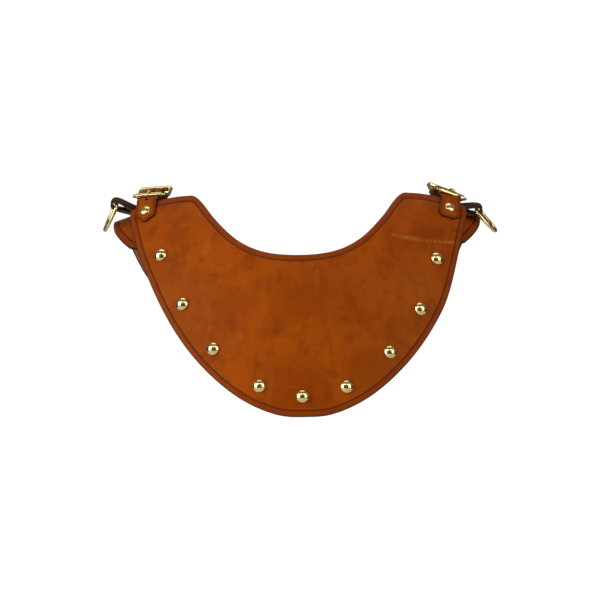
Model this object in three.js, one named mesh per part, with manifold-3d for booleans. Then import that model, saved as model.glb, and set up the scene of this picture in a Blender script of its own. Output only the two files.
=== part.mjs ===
// Leather gorget: a bib-shaped breastplate and a matching back plate, joined over each shoulder
// by a riveted strap and a roller buckle, with a D-ring on a folded tab outside each buckle.
//
// Millimetres. +Z is up, -Y is the chest side and +X is the wearer's left. The origin is the
// middle of the neck opening, level with the shoulder straps.

import * as THREE from 'three';
import { mergeVertices } from 'three/addons/utils/BufferGeometryUtils.js';
import Module from 'manifold-3d';

const wasm = await Module();
wasm.setup();

// ---------------------------------------------------------------- driving dimensions

const GAP = 0.3;                 // clearance between pieces that touch
const SEAT = 0.45;               // clearance under rivet heads, over curved leather
const PLATE_THICK = 4;
const STRAP_THICK = 2.4;
const CHAPE_THICK = 1.8;
const TAB_THICK = 2.2;
const STRAP_HALF = 9.3;          // 3/4 inch strap, half its width
const TAB_HALF = 9;
const RIVET_INSET = 18.4;        // dome centres, in from the plates' outer edge
const POST = 1.4;                // rivet post, in a hole a little bigger
const DRILL = 1.7;
const DRILL_REACH = 40;
const PLATE_ROWS = 8;            // mesh steps from a plate's outer edge to its neck edge
const CROWDING = 1.25;           // how much closer the mesh columns are at the shoulders
const CROWN_SHARE = 0.12;        // how much of a plate, from each shoulder, its end edge bows in

// The breastplate is seen from the front: its outline is in x and z. It leans back from the hem,
// curls over the collar bones, and wraps round the chest, more at the hem than at the shoulder.
const FRONT = {
  hemY: -116, hemZ: -199.4, height: 200, lean: 0.12, curl: 1.05, wrapRadius: 240, ease: 0.45,
  drift: 3.5, driftFrom: -40, driftOver: 70,
  crown: 2.2,
  outer: [[146, -10.6], [150.6, -12.6], [151.8, -17.5], [150.2, -27], [142.9, -56],
    [125.5, -104], [96.5, -148], [59.3, -181.5], [24.5, -197.3], [0, -199.4]],
  inner: [[101, 0.3], [95, 0.4], [91, -1.6], [86, -6.6], [75, -21], [55, -40.2], [33, -50.6],
    [0, -54.3]],
  columns: 46,
  stations: [0.098, 0.192, 0.292, 0.404, 0.496, 0.588, 0.694, 0.791, 0.889],
};

// The back plate's outline is in x and s, the distance along the leather from the top of the
// shoulder: s is positive down the back and negative down the front, under the breastplate.
const BACK = {
  ridgeY: 10, ridgeZ: -3, fallFrom: 105, fallSlope: 0.333, fallSoft: 8,
  frontArcs: [[45, 50], [60, Infinity]],
  backArcs: [[62, 60], [200, 400]],
  wrapRadius: 240, wrapFrom: 20, wrapOver: 150,
  crown: 8,
  shift: -1.5,
  outer: [[151.5, -55], [159.5, -42], [164.7, -28], [165.5, -6], [162, 20], [153, 52], [136, 96],
    [108, 138], [72, 174], [34, 196], [0, 203]],
  inner: [[106, -55], [100.5, -51], [98, -44], [96.5, -25], [96, 0], [91, 26], [78, 52], [54, 76],
    [27, 87], [0, 90]],
  columns: 64,
  stations: [0.215, 0.286, 0.357, 0.429, 0.5, 0.571, 0.643, 0.714, 0.785],
};

// Roller buckle, in its own frame: x along the roller, y to the rear, z off the strap.
const BUCKLE = {
  railX: 13.9, railHalf: 1.6, railThick: 3,
  centreBar: 15.5, centreDrop: 3.5, barRadius: 1.5,
  rearBar: 31, rearLift: 1.5, rearHeight: 5,
  rollerInner: 1.8, rollerOuter: 2.75, rollerHalf: 11.7,
};
const REAR_BAR_DEPTH = 2.8;
const RAIL_PATH = [[-2.2, 0], [2.5, 0], [9, -1.2], [15.5, -2.3], [22, -1.2], [28, 0.8], [32.4, 1.5]];
const PRONG_HALF = 1.5;
const PRONG_EYE = { inner: 1.7, outer: 3.3 };
const PRONG_SLOT_HALF = 2.1;     // the slots that let the prong through the leather
const STRAP_SLOT = { y: 11.2, length: 8.5, reach: 6 };
const CHAPE_SLOT = { y: 15.8, length: 9.6, reach: 5 };

// The strap through the buckle and the chape under and over it, as y and z in the buckle's frame.
const TONGUE_PATH = [[-2.5, -4.9], [1, -4.7], [3, -4.4], [7.5, -2.3], [11.2, 0.1], [15.5, 1.75],
  [19.6, 0.9], [24, -1.3], [28, -3.2], [31.5, -4.5], [37, -6.1]];
const TAIL_SHARE = 0.45;         // width of the strap's hidden end
const CHAPE_UNDER = [[31, -9.4], [24, -7], [19, -6.3]];
const CHAPE_OVER = [[17.6, -1.4], [24, -4.2], [31, -7.2]];

const CHAPE_RIVET_S = 44;
const CHAPE_REACH = 24;          // the chape's rivet stands this far behind the buckle's rear bar
const CHAPE_END = 8;             // leather past the rivet
const CHAPE_EASE = 9;            // flat leather in front of it
const CHAPE_BEND_S = 22;         // the chape leaves the back plate here, this far clear of it
const CHAPE_CLEAR = 0.9;

const RING = { wire: 1.7, barHalf: 11, arcHalf: 13.2, arcCentre: 6, arcDepth: 19.5, sides: 8 };
const ARC_STEPS = 13;
const ARC_CORNER = 0.6;          // the ring narrows by this much towards its bar
const RING_TILT = 11;            // degrees that the ring's bar and the tab's fold rise to the back
const RING_REST = [0.4, 0.3];    // the ring's bar lies this far in and down from the fold's middle
const FOLD_RADIUS = 3.9;         // middle of the leather where the tab turns round the D-ring
const TAB_Y = -8;
const TAB_S = -18;               // the tab crosses the shoulder just in front of its top
const TAB_RIVET_X = 128;
const TAB_END_X = 120;
const TAB_LIFT_X = { low: 137, high: 139 };   // where its two layers leave the plate for the fold

const BEND_Y = -21.5;            // the straps bend here when the two plates are folded apart
const BEND_RELIEF = 2.1;         // clear leather each side of that line
const BEND_DIP = [-0.3, 0.2];    // the strap's height before and behind it, from each side's bendZ
const BEND_SHARE = 0.6;          // how much of the buckle's toe the strap has taken up at the bend
const FOOT_TOP_Z = -5.6;         // where the strap's foot leaves the breastplate
const FOOT_TOP_LIFT = 0.8;
const FOOT_FLAT_Z = -12;

// What differs between the two shoulders, which are cut and set by hand.
const SIDES = {
  right: {
    sign: -1, buckle: [-134.5, -12, 2], roll: 3, pitch: 8, toe: 12, strapShift: 0, bendZ: -1.4,
    bendRoll: 7,
    foot: { topX: -135.6, tipX: -138.4, tipZ: -23.6, shoulderZ: -18.4, tipHalf: 1.6, rivetZ: -14.4 },
    fold: [164.6, -5.5], ringLean: 25,
  },
  left: {
    sign: 1, buckle: [138.5, -12, -0.5], roll: 20, pitch: 6, toe: 18, strapShift: -1.8, bendZ: -3.4,
    bendRoll: 12,
    foot: { topX: 137, tipX: 134.6, tipZ: -23.8, shoulderZ: -21.4, tipHalf: 5.5, rivetZ: -15.4 },
    fold: [161.6, -14.9], ringLean: 41,
  },
};

const LEATHER = new THREE.MeshStandardMaterial({ color: 0x9a4a12, roughness: 0.45, metalness: 0 });
const DARK_LEATHER = new THREE.MeshStandardMaterial({ color: 0x4a2412, roughness: 0.6, metalness: 0 });
const BRASS = new THREE.MeshStandardMaterial({ color: 0xd8b25a, roughness: 0.18, metalness: 1 });

const radians = THREE.MathUtils.degToRad;
const vec = (x, y, z) => new THREE.Vector3(x, y, z);

// ---------------------------------------------------------------- solids

/** A closed geometry from points and triangles, turned so that its faces point outwards. */
function solid(points, triangles) {
  let volume = 0;
  for (const [a, b, c] of triangles) {
    volume += points[a].dot(points[b].clone().cross(points[c]));
  }
  const index = triangles.flatMap(([a, b, c]) => (volume < 0 ? [a, c, b] : [a, b, c]));
  const geometry = new THREE.BufferGeometry();
  const places = points.flatMap((p) => p.toArray());
  geometry.setAttribute('position', new THREE.Float32BufferAttribute(places, 3));
  geometry.setIndex(index);
  geometry.computeVertexNormals();
  return geometry;
}

function toManifold(geometry) {
  const bare = geometry.clone();
  bare.deleteAttribute('normal');
  bare.deleteAttribute('uv');
  const merged = mergeVertices(bare, 1e-4);
  return new wasm.Manifold(new wasm.Mesh({
    numProp: 3,
    vertProperties: new Float32Array(merged.attributes.position.array),
    triVerts: new Uint32Array(merged.index.array),
  }));
}

function fromManifold(body) {
  const mesh = body.getMesh();
  const geometry = new THREE.BufferGeometry();
  geometry.setAttribute('position', new THREE.Float32BufferAttribute(mesh.vertProperties, 3));
  geometry.setIndex(Array.from(mesh.triVerts));
  geometry.computeVertexNormals();
  return geometry;
}

function cut(geometry, ...tools) {
  return fromManifold(tools.reduce((body, tool) => body.subtract(toManifold(tool)), toManifold(geometry)));
}

function join(geometry, ...others) {
  return fromManifold(others.reduce((body, other) => body.add(toManifold(other)), toManifold(geometry)));
}

/** A strip of leather or metal of rectangular section, lofted through stations {p, side, half}. */
function ribbon(stations, thick) {
  const points = [];
  const triangles = [];
  const last = stations.length - 1;
  stations.forEach(({ p, side, half }, i) => {
    const along = stations[Math.min(i + 1, last)].p.clone().sub(stations[Math.max(i - 1, 0)].p);
    const across = side.clone().addScaledVector(along, -side.dot(along) / along.lengthSq()).normalize();
    const up = across.clone().cross(along).normalize();
    for (const [a, b] of [[-1, -1], [1, -1], [1, 1], [-1, 1]]) {
      points.push(p.clone().addScaledVector(across, a * half).addScaledVector(up, b * thick / 2));
    }
  });
  for (let i = 0; i < last; i += 1) {
    for (let k = 0; k < 4; k += 1) {
      const a = 4 * i + k;
      const b = 4 * i + (k + 1) % 4;
      triangles.push([a, b, b + 4], [a, b + 4, a + 4]);
    }
  }
  const end = 4 * last;
  triangles.push([0, 2, 1], [0, 3, 2], [end, end + 1, end + 2], [end, end + 2, end + 3]);
  return solid(points, triangles);
}

/** A round wire following a closed flat outline of [x, y] points in the plane z = 0. */
function wireLoop(outline, radius, sides) {
  const points = [];
  const triangles = [];
  const count = outline.length;
  outline.forEach(([x, y], i) => {
    const before = outline[(i + count - 1) % count];
    const after = outline[(i + 1) % count];
    const outward = vec(after[1] - before[1], before[0] - after[0], 0).normalize();
    for (let k = 0; k < sides; k += 1) {
      const angle = 2 * Math.PI * (k + 0.5) / sides;
      const p = vec(x, y, radius * Math.sin(angle)).addScaledVector(outward, radius * Math.cos(angle));
      points.push(p);
      const [a, b] = [i * sides + k, i * sides + (k + 1) % sides];
      const [c, d] = [(a + sides) % (count * sides), (b + sides) % (count * sides)];
      triangles.push([a, b, d], [a, d, c]);
    }
  });
  return solid(points, triangles);
}

/** A turned solid about +Z from a profile of [radius, z] points. */
function turned(profile, segments) {
  const lathe = new THREE.LatheGeometry(profile.map(([r, z]) => new THREE.Vector2(r, z)), segments);
  return lathe.rotateX(Math.PI / 2);
}

function rod(radius, length, segments = 12) {
  return new THREE.CylinderGeometry(radius, radius, length, segments).rotateZ(Math.PI / 2);
}

// ---------------------------------------------------------------- plate surfaces

function smooth(value) {
  const t = THREE.MathUtils.clamp(value, 0, 1);
  return t * t * (3 - 2 * t);
}

/** Middle of the breastplate's leather at x and z. */
function frontPoint(x, z) {
  const h = z - FRONT.hemZ;
  const back = FRONT.lean * h + FRONT.curl * h ** 4 / (4 * FRONT.height ** 3);
  const wrap = x * x / (2 * FRONT.wrapRadius) * (1 - FRONT.ease * (h / FRONT.height) ** 2);
  return vec(x, FRONT.hemY + back + wrap, z);
}

/** How far back and down a strip lies after `length` along arcs given as [length, radius]. */
function alongArcs(arcs, length) {
  let [y, drop, angle, left] = [0, 0, 0, length];
  for (const [span, radius] of arcs) {
    const step = Math.min(left, span);
    const next = angle + step / radius;
    if (Number.isFinite(radius)) {
      y += radius * (Math.sin(next) - Math.sin(angle));
      drop += radius * (Math.cos(angle) - Math.cos(next));
    } else {
      y += step * Math.cos(angle);
      drop += step * Math.sin(angle);
    }
    angle = next;
    left -= step;
  }
  return { y, drop };
}

/** Middle of the back plate's leather at x and distance s from the top of the shoulder. */
function backPoint(x, s) {
  const profile = alongArcs(s < 0 ? BACK.frontArcs : BACK.backArcs, Math.abs(s));
  const over = Math.abs(x) - BACK.fallFrom;
  const fall = BACK.fallSlope * BACK.fallSoft * Math.log1p(Math.exp(over / BACK.fallSoft));
  const wrap = x * x / (2 * BACK.wrapRadius) * smooth((s - BACK.wrapFrom) / BACK.wrapOver);
  return vec(x, BACK.ridgeY + Math.sign(s) * profile.y - wrap, BACK.ridgeZ - profile.drop - fall);
}

const plates = {
  front: { ...FRONT, at: frontPoint, shift: frontDrift, up: 1, holes: [] },
  back: { ...BACK, at: backPoint, shift: () => BACK.shift, up: -1, holes: [] },
};

/** The breastplate was cut by hand: its lower half stands a little to the wearer's left. */
function frontDrift(z) {
  return FRONT.drift * smooth((FRONT.driftFrom - z) / FRONT.driftOver);
}

/** Directions across (x) and along (v) a plate's surface at its outline coordinates. */
function tangentsAt(plate, x, v) {
  const step = 0.5;
  const acrossX = plate.at(x + step, v).sub(plate.at(x - step, v)).normalize();
  const alongV = plate.at(x, v + step).sub(plate.at(x, v - step)).normalize();
  return { acrossX, alongV };
}

/** Outward unit normal of a plate at its outline coordinates. */
function normalAt(plate, x, v) {
  const { acrossX, alongV } = tangentsAt(plate, x, v);
  return acrossX.cross(alongV).normalize();
}

/** A point standing `lift` off the outer face of a plate. */
function offPlate(plate, x, v, lift) {
  return plate.at(x, v).addScaledVector(normalAt(plate, x, v), PLATE_THICK / 2 + lift);
}

/** Smooth curve through half an outline and its mirror image. */
function rim(half) {
  const rest = half.slice(0, -1).reverse();
  const points = [...half.map(([x, v]) => vec(-x, v, 0)), ...rest.map(([x, v]) => vec(x, v, 0))];
  return new THREE.CatmullRomCurve3(points, false, 'centripetal');
}

/** Crowds the mesh columns towards the two shoulders, where a plate bends most. */
function columnAt(u) {
  const half = Math.min(u, 1 - u);
  const t = 0.5 * (2 * half) ** CROWDING;
  return u <= 0.5 ? t : 1 - t;
}

/** A plate: two skins half the thickness either side of its surface, closed round the rim. */
function plateGeometry(plate) {
  const outer = rim(plate.outer);
  const inner = rim(plate.inner);
  const points = [];
  const triangles = [];
  const rows = PLATE_ROWS + 1;
  const skin = (plate.columns + 1) * rows;
  for (const face of [1, -1]) {
    for (let i = 0; i <= plate.columns; i += 1) {
      const t = columnAt(i / plate.columns);
      for (let j = 0; j < rows; j += 1) {
        const across = j / PLATE_ROWS;
        const p = outer.getPoint(t).lerp(inner.getPoint(t), across);
        const nearEnd = Math.max(0, 1 - Math.min(t, 1 - t) / CROWN_SHARE);
        const crown = 4 * plate.crown * across * (1 - across) * nearEnd ** 2;
        const v = p.y + crown * plate.up;
        const x = p.x + plate.shift(v);
        points.push(plate.at(x, v).addScaledVector(normalAt(plate, x, v), face * PLATE_THICK / 2));
      }
    }
  }
  const quad = (a, b, c, d) => triangles.push([a, b, c], [a, c, d]);
  for (let i = 0; i < plate.columns; i += 1) {
    for (let j = 0; j < PLATE_ROWS; j += 1) {
      const a = i * rows + j;
      quad(a, a + rows, a + rows + 1, a + 1);
      quad(skin + a, skin + a + 1, skin + a + rows + 1, skin + a + rows);
    }
  }
  const walls = [];
  for (let i = 0; i < plate.columns; i += 1) {
    walls.push([(i + 1) * rows, i * rows]);
    walls.push([i * rows + PLATE_ROWS, (i + 1) * rows + PLATE_ROWS]);
  }
  for (let j = 0; j < PLATE_ROWS; j += 1) {
    walls.push([j, j + 1]);
    walls.push([plate.columns * rows + j + 1, plate.columns * rows + j]);
  }
  for (const [a, b] of walls) {
    quad(a, b, skin + b, skin + a);
  }
  return solid(points, triangles);
}

/** Where a dome sits: in from the outer edge, at a fraction of the way round it. */
function domeSeat(plate, station) {
  const curve = rim(plate.outer);
  const p = curve.getPointAt(station);
  const along = curve.getTangentAt(station);
  const inset = RIVET_INSET * plate.up;
  return [p.x - along.y * inset + plate.shift(p.y), p.y + along.x * inset];
}

/** Turns a piece's +Z to the plate's outward normal and sets it on the outer face. */
function seatOn(object, plate, x, v, lift = 0) {
  object.position.copy(offPlate(plate, x, v, lift));
  object.quaternion.setFromUnitVectors(vec(0, 0, 1), normalAt(plate, x, v));
  return object;
}

/** A drill through a plate, or through leather lying on it, at a rivet. */
function drill(plate, x, v) {
  const bit = new THREE.CylinderGeometry(DRILL, DRILL, DRILL_REACH, 8).rotateX(Math.PI / 2);
  const seat = seatOn(new THREE.Object3D(), plate, x, v);
  seat.updateMatrix();
  return bit.applyMatrix4(seat.matrix);
}

// ---------------------------------------------------------------- fasteners

/** Polished dome rivet, set through one thickness of plate: cap, post and clenched back. */
function domeRivet() {
  const back = -PLATE_THICK - SEAT;
  return turned([[0, back - 1.2], [2.6, back - 1.1], [3.6, back - 0.6], [3.6, back], [POST, back],
    [POST, SEAT], [6, SEAT], [5.9, 1.5], [5.1, 2.9], [3.6, 4], [1.9, 4.6], [0, 4.75]], 8);
}

/** Small cap rivet through a stack of leather as deep as `grip`. */
function capRivet(grip) {
  const back = -grip - SEAT;
  return turned([[0, back - 0.9], [3.5, back - 0.8], [3.8, back], [POST, back], [POST, SEAT],
    [4.7, SEAT], [4.5, 1.1], [3.2, 1.7], [0, 2.1]], 8);
}

// ---------------------------------------------------------------- buckle

/** The cast frame: two rails, the bar in the roller, the centre bar and a tall rear bar. */
function buckleFrame() {
  const b = BUCKLE;
  const rail = (x) => ribbon(RAIL_PATH.map(([y, z]) => ({
    p: vec(x, y, z), side: vec(1, 0, 0), half: b.railHalf,
  })), b.railThick);
  const bar = (y, z) => rod(b.barRadius, 2 * b.railX).translate(0, y, z);
  const rear = new THREE.BoxGeometry(2 * b.railX, REAR_BAR_DEPTH, b.rearHeight);
  rear.translate(0, b.rearBar, b.rearLift);
  return join(rail(b.railX), rail(-b.railX), bar(0, 0), bar(b.centreBar, -b.centreDrop), rear);
}

function roller() {
  const { rollerInner: r, rollerOuter: R, rollerHalf: h } = BUCKLE;
  const ring = turned([[r, -h], [R, -h], [R, h], [r, h], [r, -h]], 14);
  return ring.rotateY(Math.PI / 2);
}

/** The prong: an eye round the centre bar and a shank that lies forward over the roller. */
function prong() {
  const [y, z] = [BUCKLE.centreBar, -BUCKLE.centreDrop];
  const onRoller = BUCKLE.rollerOuter + GAP;
  const shape = new THREE.Shape();
  shape.moveTo(-3.6, 2.3);
  shape.lineTo(-2.2, onRoller);
  shape.lineTo(4, onRoller);
  shape.absarc(y, z, PRONG_EYE.outer, Math.PI * 0.85, Math.PI * 2.4, false);
  shape.lineTo(4.6, 5);
  shape.lineTo(-2, 4.6);
  shape.lineTo(-3.6, 3.4);
  shape.closePath();
  const eye = new THREE.Path();
  eye.absarc(y, z, PRONG_EYE.inner, 0, 2 * Math.PI, true);
  shape.holes.push(eye);
  const flat = new THREE.ExtrudeGeometry(shape, {
    depth: 2 * PRONG_HALF, bevelEnabled: false, curveSegments: 10,
  });
  return flat.translate(0, 0, -PRONG_HALF).rotateY(Math.PI / 2).rotateX(Math.PI / 2);
}

// ---------------------------------------------------------------- straps

const place = (group, x, y, z) => group.localToWorld(vec(x, y, z));
const direction = (group, x, y, z) => vec(x, y, z).transformDirection(group.matrixWorld);

/** Across the strap where it bends: tipped outward, and turned in part of the way to the buckle. */
function bendAcross(side) {
  const [roll, toe] = [radians(side.bendRoll), radians(side.toe * BEND_SHARE)];
  return vec(Math.cos(roll), side.sign * Math.sin(toe), -side.sign * Math.sin(roll)).normalize();
}

/** The strap's foot runs from under the bend down to its tip, a little across the plate. */
function footX({ foot }, z) {
  return THREE.MathUtils.mapLinear(z, FOOT_TOP_Z, foot.tipZ, foot.topX, foot.tipX);
}

/** The strap's riveted foot, lying on the breastplate from its tip up to the bend. */
function strapFoot(side) {
  const { topX, tipZ, shoulderZ, tipHalf } = side.foot;
  const lift = SEAT + STRAP_THICK / 2;
  const onPlate = (z, half, extra = 0) => ({
    p: offPlate(plates.front, footX(side, z), z, lift + extra),
    side: tangentsAt(plates.front, footX(side, z), z).acrossX,
    half,
  });
  const end = vec(topX, BEND_Y - BEND_RELIEF, side.bendZ + BEND_DIP[0]);
  return ribbon([
    onPlate(tipZ, tipHalf),
    onPlate(shoulderZ, STRAP_HALF),
    onPlate(FOOT_FLAT_Z, STRAP_HALF),
    onPlate(FOOT_TOP_Z, STRAP_HALF, FOOT_TOP_LIFT),
    { p: end, side: bendAcross(side), half: STRAP_HALF },
  ], STRAP_THICK);
}

/** A slot for the prong, cut through leather at a buckle. */
function prongSlot(group, slot, z) {
  const box = new THREE.BoxGeometry(2 * PRONG_SLOT_HALF, slot.length, 2 * slot.reach);
  return box.translate(0, slot.y, z).applyMatrix4(group.matrixWorld);
}

/** The rest of the strap: under the roller, over the centre bar and under the rear bar. */
function strapTongue(side, group) {
  const across = direction(group, 1, 0, 0);
  const last = TONGUE_PATH.length - 1;
  const start = vec(side.foot.topX, BEND_Y + BEND_RELIEF, side.bendZ + BEND_DIP[1]);
  const stations = TONGUE_PATH.map(([y, z], i) => ({
    p: place(group, side.strapShift, y, z),
    side: across,
    half: STRAP_HALF * (i === last ? TAIL_SHARE : 1),
  }));
  stations.unshift({ p: start, side: bendAcross(side), half: STRAP_HALF });
  return cut(ribbon(stations, STRAP_THICK), prongSlot(group, STRAP_SLOT, 0));
}

function chapeRivetX(group) {
  return place(group, 0, BUCKLE.rearBar + CHAPE_REACH, 0).x;
}

/** The folded chape: round the buckle's centre bar and back to a rivet on the back plate. */
function chapeStations(group) {
  const x = chapeRivetX(group);
  const across = direction(group, 1, 0, 0);
  const inBuckle = ([y, z]) => ({ p: place(group, 0, y, z), side: across, half: STRAP_HALF });
  const onPlate = (s, lift) => ({
    p: offPlate(plates.back, x, s, lift),
    side: tangentsAt(plates.back, x, s).acrossX,
    half: STRAP_HALF,
  });
  const wrap = BUCKLE.barRadius + GAP + CHAPE_THICK / 2;
  const roundBar = [-90, -135, -180, -225, -270].map((degrees) => [
    BUCKLE.centreBar + wrap * Math.cos(radians(degrees)),
    wrap * Math.sin(radians(degrees)) - BUCKLE.centreDrop,
  ]);
  const low = SEAT + CHAPE_THICK / 2;
  const high = low + CHAPE_THICK + GAP;
  return [
    onPlate(CHAPE_RIVET_S + CHAPE_END, low),
    onPlate(CHAPE_RIVET_S, low),
    onPlate(CHAPE_RIVET_S - CHAPE_EASE, low + GAP),
    onPlate(CHAPE_BEND_S, low + CHAPE_CLEAR),
    ...[...CHAPE_UNDER, ...roundBar, ...CHAPE_OVER].map(inBuckle),
    onPlate(CHAPE_BEND_S, high + CHAPE_CLEAR),
    onPlate(CHAPE_RIVET_S - CHAPE_EASE, high + GAP),
    onPlate(CHAPE_RIVET_S, high),
    onPlate(CHAPE_RIVET_S + CHAPE_END, high),
  ];
}

/** The D-ring's tab: a strap doubled round the ring's bar and riveted to the back plate. */
function tabStations(side) {
  const [foldX, foldZ] = side.fold;
  const barSide = vec(0, Math.cos(radians(RING_TILT)), Math.sin(radians(RING_TILT)));
  const station = (x, y, z) => ({ p: vec(side.sign * x, y, z), side: barSide, half: TAB_HALF });
  const onPlate = (x, lift) => ({
    p: offPlate(plates.back, side.sign * x, TAB_S, lift),
    side: tangentsAt(plates.back, side.sign * x, TAB_S).alongV,
    half: TAB_HALF,
  });
  const low = SEAT + TAB_THICK / 2;
  const high = low + TAB_THICK + GAP;
  const round = [-90, -45, 0, 45, 90].map((degrees) => station(
    foldX + FOLD_RADIUS * Math.cos(radians(degrees)),
    TAB_Y,
    foldZ + FOLD_RADIUS * Math.sin(radians(degrees)),
  ));
  return [
    onPlate(TAB_END_X, low), onPlate(TAB_RIVET_X, low), onPlate(TAB_LIFT_X.low, low), ...round,
    onPlate(TAB_LIFT_X.high, high), onPlate(TAB_RIVET_X, high), onPlate(TAB_END_X, high),
  ];
}

/** D-ring in its own frame: the bar on the x axis, the arc hanging to -y. */
function dRing() {
  const { wire, barHalf, arcHalf, arcCentre, arcDepth, sides } = RING;
  const outline = [[barHalf, 0], [-barHalf, 0], [-arcHalf + ARC_CORNER, -arcCentre / 3]];
  for (let i = 0; i <= ARC_STEPS; i += 1) {
    const angle = Math.PI * i / ARC_STEPS;
    outline.push([-arcHalf * Math.cos(angle), -arcCentre - arcDepth * Math.sin(angle)]);
  }
  outline.push([arcHalf - ARC_CORNER, -arcCentre / 3]);
  return wireLoop(outline, wire, sides);
}

/** Turns the ring's bar front to back and its arc down and outward. */
function ringBasis(side) {
  const lean = radians(side.ringLean);
  const bar = vec(0, Math.cos(radians(RING_TILT)), Math.sin(radians(RING_TILT)));
  const hang = vec(side.sign * Math.sin(lean), 0, -Math.cos(lean));
  const normal = bar.clone().cross(hang).normalize();
  const up = normal.clone().cross(bar).negate();
  return new THREE.Matrix4().makeBasis(bar, up, bar.clone().cross(up));
}

// ---------------------------------------------------------------- assembly

const gorget = new THREE.Group();

function add(parent, name, geometry, material) {
  const mesh = new THREE.Mesh(geometry, material);
  mesh.name = name;
  parent.add(mesh);
  return mesh;
}

/** A rivet standing on `stack` millimetres of leather; the hole for it goes in the plate's list. */
function addRivet(name, geometry, plate, x, v, stack = 0) {
  seatOn(add(gorget, name, geometry, BRASS), plate, x, v, stack);
  const hole = drill(plate, x, v);
  plate.holes.push(hole);
  return hole;
}

function addDomes(face, plate) {
  plate.stations.forEach((station, i) => {
    const [x, v] = domeSeat(plate, station);
    addRivet(`${face}_dome_rivet_${i + 1}`, domeRivet(), plate, x, v);
  });
}

function addBuckle(name, side) {
  const group = new THREE.Group();
  const { pitch, roll, toe, sign } = side;
  group.position.set(...side.buckle);
  group.rotation.set(radians(pitch), radians(sign * roll), radians(sign * toe), 'ZYX');
  gorget.add(group);
  gorget.updateMatrixWorld(true);
  add(group, `${name}_buckle_frame`, buckleFrame(), BRASS);
  add(group, `${name}_roller`, roller(), BRASS);
  add(group, `${name}_prong`, prong(), BRASS);
  return group;
}

function addStrap(name, side, group) {
  const stack = SEAT + STRAP_THICK;
  const z = side.foot.rivetZ;
  const rivet = capRivet(PLATE_THICK + stack);
  const hole = addRivet(`${name}_strap_rivet`, rivet, plates.front, footX(side, z), z, stack);
  add(gorget, `${name}_strap_foot`, cut(strapFoot(side), hole), LEATHER);
  add(gorget, `${name}_strap_tongue`, strapTongue(side, group), LEATHER);
}

function addChape(name, group) {
  const stack = SEAT + GAP + 2 * CHAPE_THICK;
  const rivet = capRivet(PLATE_THICK + stack + 2 * SEAT);
  const hole = addRivet(
    `${name}_chape_rivet`, rivet, plates.back, chapeRivetX(group), CHAPE_RIVET_S, stack);
  const slot = prongSlot(group, CHAPE_SLOT, -BUCKLE.centreDrop);
  const leather = cut(ribbon(chapeStations(group), CHAPE_THICK), slot, hole);
  add(gorget, `${name}_chape`, leather, LEATHER);
}

function addTab(name, side) {
  const stack = SEAT + GAP + 2 * TAB_THICK;
  const rivet = capRivet(PLATE_THICK + stack);
  const hole = addRivet(
    `${name}_tab_rivet`, rivet, plates.back, side.sign * TAB_RIVET_X, TAB_S, stack);
  add(gorget, `${name}_ring_tab`, cut(ribbon(tabStations(side), TAB_THICK), hole), DARK_LEATHER);
}

function addRing(name, side) {
  const [foldX, foldZ] = side.fold;
  const ring = add(gorget, `${name}_d_ring`, dRing(), BRASS);
  ring.position.set(side.sign * (foldX - RING_REST[0]), TAB_Y, foldZ - RING_REST[1]);
  ring.quaternion.setFromRotationMatrix(ringBasis(side));
}

addDomes('front', plates.front);
addDomes('back', plates.back);

for (const [name, side] of Object.entries(SIDES)) {
  const group = addBuckle(name, side);
  addStrap(name, side, group);
  addChape(name, group);
  addTab(name, side);
  addRing(name, side);
}

add(gorget, 'breastplate', cut(plateGeometry(plates.front), ...plates.front.holes), LEATHER);
add(gorget, 'back_plate', cut(plateGeometry(plates.back), ...plates.back.holes), LEATHER);

export default gorget;
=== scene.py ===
"""Looks of a leather gorget: a bib-shaped breastplate and a back plate, buckled over the shoulders.

Every piece is built in millimetres in the CAD model's frame and scaled to metres when its mesh is
made. +Z is up, -Y is the chest side and +X is the wearer's left. Each piece replaces the plain CAD
node it stands for; all but the straps ride on that node's body.
"""

import math

import bmesh
import bpy
import numpy as np
from mathutils import Euler, Matrix, Vector

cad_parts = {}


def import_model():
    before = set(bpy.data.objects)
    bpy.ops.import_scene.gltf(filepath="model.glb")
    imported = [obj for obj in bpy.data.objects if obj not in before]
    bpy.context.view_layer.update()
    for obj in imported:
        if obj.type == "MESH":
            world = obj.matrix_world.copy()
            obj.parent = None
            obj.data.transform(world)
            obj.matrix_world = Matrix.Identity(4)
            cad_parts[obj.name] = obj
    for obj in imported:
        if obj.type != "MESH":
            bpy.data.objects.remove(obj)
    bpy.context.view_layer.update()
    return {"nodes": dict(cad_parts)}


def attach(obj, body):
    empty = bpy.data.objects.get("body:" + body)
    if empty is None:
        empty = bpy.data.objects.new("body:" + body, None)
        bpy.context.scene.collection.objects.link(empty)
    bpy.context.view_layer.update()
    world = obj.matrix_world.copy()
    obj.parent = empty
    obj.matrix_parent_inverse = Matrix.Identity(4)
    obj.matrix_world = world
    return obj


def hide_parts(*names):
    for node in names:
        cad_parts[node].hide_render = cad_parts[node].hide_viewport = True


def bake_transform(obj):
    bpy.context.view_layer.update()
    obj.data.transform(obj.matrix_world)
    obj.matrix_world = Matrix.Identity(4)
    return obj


MM = 0.001

# ------------------------------------------------------------------ driving dimensions, millimetres

PLATE_THICK = 4.0
STRAP_THICK = 2.4
CHAPE_THICK = 1.8
TAB_THICK = 2.2
STRAP_HALF = 9.3
TAB_HALF = 9.0
SEAT = 0.45                      # CAD clearance between a strap and the plate under it
GAP = 0.3                        # CAD clearance between stacked layers of leather
PLATE_ROWS = 44
PLATE_COLUMNS = 210
BORDER_INSET = 5.6               # creased border line, in from every edge of the plates
STRAP_BORDER = 2.0               # creased line along the straps

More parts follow.
